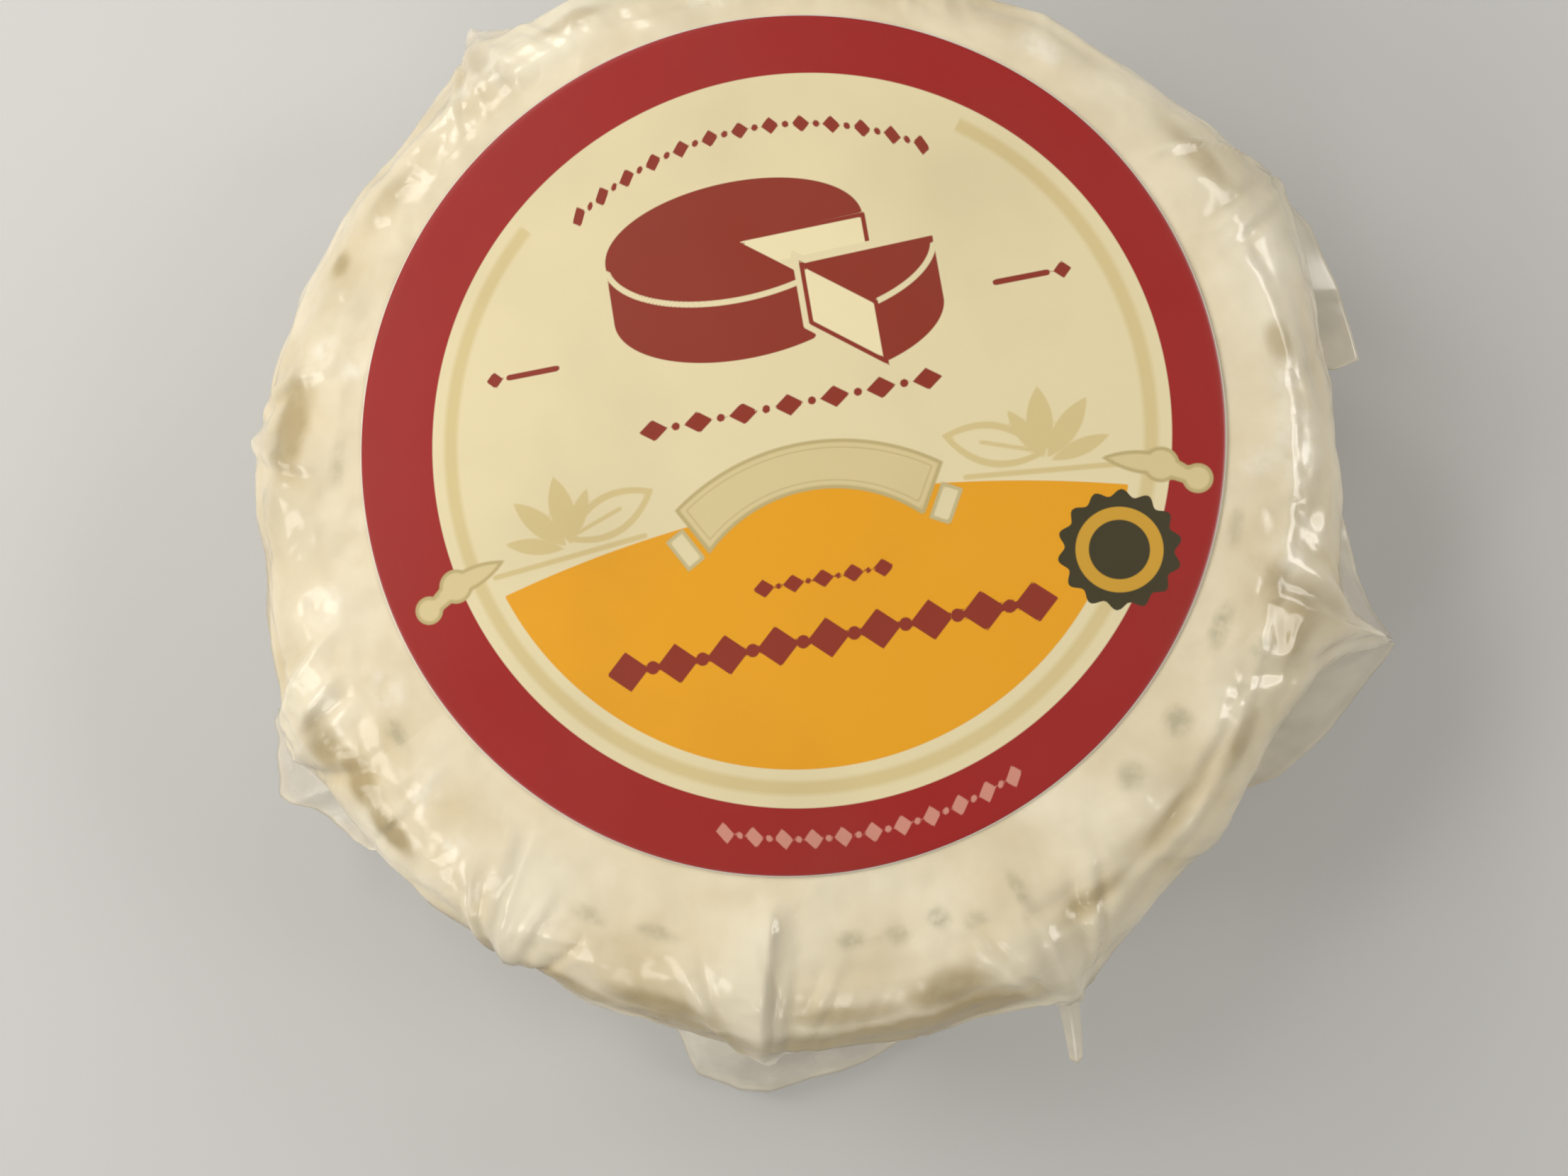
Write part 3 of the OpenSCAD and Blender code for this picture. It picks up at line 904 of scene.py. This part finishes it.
def ear_finish():
    """Loose film: the same gloss, mostly clear, a little cloudier in patches and at its rolled rim."""
    s = Shader("ear_film", IOR=1.49)
    cloud = s.noise(5.0, 2).rise(0.3, 0.7)
    colour = s.mix(cloud, (0.66, 0.60, 0.47), (0.84, 0.78, 0.64))
    alpha = (s.value("cloudy") + 0.20 * cloud + 0.28 * s.value("rim")).clip()
    return s.feed(Base_Color=colour, Alpha=alpha, Roughness=0.16 + 0.12 * s.noise(4.0, 1))


def rind_finish():
    """Soft white bloom over a tan rind, which shows in patches and fine flecks. The patches along the lower
    rim also paint the shade under it.
    """
    s = Shader("bloomy_rind", Sheen_Weight=0.25, Sheen_Roughness=0.6)
    bloom = s.noise(5.0, 5, 0.6)
    fleck = s.noise(0.9, 3)
    # Tan rind patches, and painted shade along the lower rim.
    bare_rind_and_rim_shade = (s.value("bare_rind_and_rim_shade") * (0.45 + 1.1 * bloom) + 0.35 * fleck.rise(0.58, 0.8)).clip()
    colour = s.mix(bloom.rise(0.3, 0.7), (0.80, 0.68, 0.46), (0.87, 0.79, 0.62))
    colour = s.mix(bare_rind_and_rim_shade, colour, s.mix(fleck.rise(0.3, 0.7), (0.48, 0.36, 0.17), (0.60, 0.48, 0.26)))
    relief = s.bump(0.6 * bloom + fleck + 0.4 * s.noise(0.35, 2), 0.25, 0.8)
    return s.feed(Base_Color=colour, Roughness=0.74 + 0.16 * bloom, Normal=relief)


INKS = {
    "paper": (0.71, 0.62, 0.38), "red": (0.30, 0.011, 0.008), "orange": (0.73, 0.33, 0.008),
    "gold": (0.54, 0.41, 0.14), "ribbon": (0.62, 0.52, 0.27), "tail": (0.69, 0.61, 0.37),
    "outline": (0.33, 0.25, 0.08), "rust": (0.24, 0.027, 0.011), "pale": (0.60, 0.27, 0.20),
    "pith": (0.77, 0.68, 0.42), "seal": (0.043, 0.035, 0.012), "seal_gold": (0.56, 0.31, 0.028),
    "raw": (0.80, 0.76, 0.67),
}


def label_finish():
    """Coated paper with flat inks laid one on another, each cut at its own edge's distance of nought."""
    s = Shader("printed_paper", IOR=1.45)

    def inside(distance, soft=0.09):
        """1 inside an edge and 0 outside it, with a slight softness."""
        return (0.5 - distance / soft).clip()

    field, ribbon, tails, knobs = (s.value(k) for k in ("field", "ribbon", "tails", "knobs"))
    colour = s.mix(inside(field), INKS["paper"], INKS["orange"])
    colour = s.mix(inside(s.value("line"), 0.35) * 0.55, colour, INKS["gold"])
    colour = s.mix(inside(s.value("ring")), colour, INKS["red"])
    colour = s.mix(inside(s.value("scroll"), 0.15) * 0.62, colour, INKS["gold"])
    for shape, fill in ((tails, "tail"), (ribbon, "ribbon"), (knobs, "ribbon")):
        colour = s.mix(inside(shape), colour, INKS[fill])
        colour = s.mix(inside(abs(shape + 0.1) - 0.12, 0.15) * 0.55, colour, INKS["outline"])
    colour = s.mix(inside(abs(ribbon + 0.55) - 0.05) * 0.35, colour, INKS["outline"])
    colour = s.mix(inside(s.value("ornament")), colour, INKS["rust"])
    for shape in ("wheel", "slice"):
        if shape == "slice":
            colour = s.mix(inside(s.value("slice_all") - 0.55), colour, INKS["paper"])
        cut, seam = s.value(shape + "_cut"), s.value(shape + "_seam")
        colour = s.mix(inside(s.value(shape)) * (1 - inside(seam)), colour, INKS["rust"])
        colour = s.mix(inside(cut + 0.05), colour, INKS["pith"])
        colour = s.mix(inside(abs(cut) - 0.15), colour, INKS["rust"])
    colour = s.mix(inside(s.value("ring_row")) * 0.9, colour, INKS["pale"])
    colour = s.mix(inside(s.value("seal")), colour, INKS["seal"])
    colour = s.mix(inside(s.value("seal_ring")), colour, INKS["seal_gold"])
    colour = s.mix(inside(s.value("edge") - 0.07, 0.08), colour, INKS["raw"])
    grain = s.noise(0.5, 3)
    wear = s.noise(16.0, 3).rise(0.45, 0.8)
    colour = s.mix(wear * 0.16, colour, (0.13, 0.06, 0.03))
    return s.feed(Base_Color=colour, Roughness=0.36 + 0.14 * s.noise(6.0, 2),
                  Normal=s.bump(grain, 0.02, 0.5))


def floor_finish():
    """Plain pale matt floor with the faintest unevenness."""
    s = Shader("pale_floor")
    colour = s.mix(s.noise(60.0, 2), (0.50, 0.50, 0.49), (0.53, 0.53, 0.52))
    return s.feed(Base_Color=colour, Roughness=0.55 + 0.1 * s.noise(40.0, 2))


# ---------------------------------------------------------------- pieces
def show(piece, node, material):
    """Rides a piece on the root, in place of a CAD node and material."""
    piece.data.materials.append(material)
    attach(piece, "root")
    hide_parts(node)


show(film_skin(), "wrapper", film_finish())
show(loose_ears(), "wrapper", ear_finish())
show(cheese_wheel(), "cheese", rind_finish())
show(paper_label(), "label", label_finish())


# ---------------------------------------------------------------- floor and light
def make_floor():
    """A plain square floor at the height of nought."""
    corners = FLOOR_HALF * np.array([[-1, -1, 0], [1, -1, 0], [1, 1, 0], [-1, 1, 0]])
    floor = build_mesh("floor", corners, [[0, 1, 2, 3]])
    floor.data.materials.append(floor_finish())


def lamp(name, azimuth, height, far, size, power, shines=True, lights=True):
    """A square soft light at a heading and a height above the floor in degrees, aimed at the wheel.

    shines says whether gloss mirrors it, and lights whether it lights what is matt."""
    a, e = np.radians(azimuth), np.radians(height)
    place = Vector((np.cos(e) * np.cos(a), np.cos(e) * np.sin(a), np.sin(e))) * far
    data = bpy.data.lights.new(name, "AREA")
    data.size = size
    data.energy = power
    data.color = (1.0, 0.97, 0.93)
    light = bpy.data.objects.new(name, data)
    light.location = place
    light.visible_glossy = shines
    light.visible_diffuse = lights
    light.rotation_euler = place.to_track_quat("Z", "Y").to_euler()
    bpy.context.scene.collection.objects.link(light)


make_floor()
lamp("key", 158, 50, 0.24, 0.11, 0.245, shines=False)
# Name, heading, height above the floor, size and power of the light, and the size that gloss mirrors.
SIDE_LAMPS = [
    ("left", 196, 36, 0.15, 0.58, 0.19), ("low_left", 226, 34, 0.12, 0.35, 0.16),
    ("top_left", 126, 34, 0.13, 0.55, 0.17), ("right", 2, 34, 0.16, 0.74, 0.27),
    ("top_right", 30, 34, 0.12, 0.42, 0.16), ("front", 262, 34, 0.10, 0.24, 0.12),
]
for name, azimuth, height, size, power, mirrored in SIDE_LAMPS:
    lamp(name, azimuth, height, LAMP_FAR, size, power, shines=False)
    lamp(name + "_shine", azimuth, height, LAMP_FAR, mirrored, power * (mirrored / size) ** 2, lights=False)

world = bpy.data.worlds.new("studio")
bpy.context.scene.world = world
world.use_nodes = True
world.node_tree.nodes["Background"].inputs["Color"].default_value = (1.0, 0.98, 0.95, 1)
world.node_tree.nodes["Background"].inputs["Strength"].default_value = 0.31
bpy.context.scene.view_settings.view_transform = "Standard"
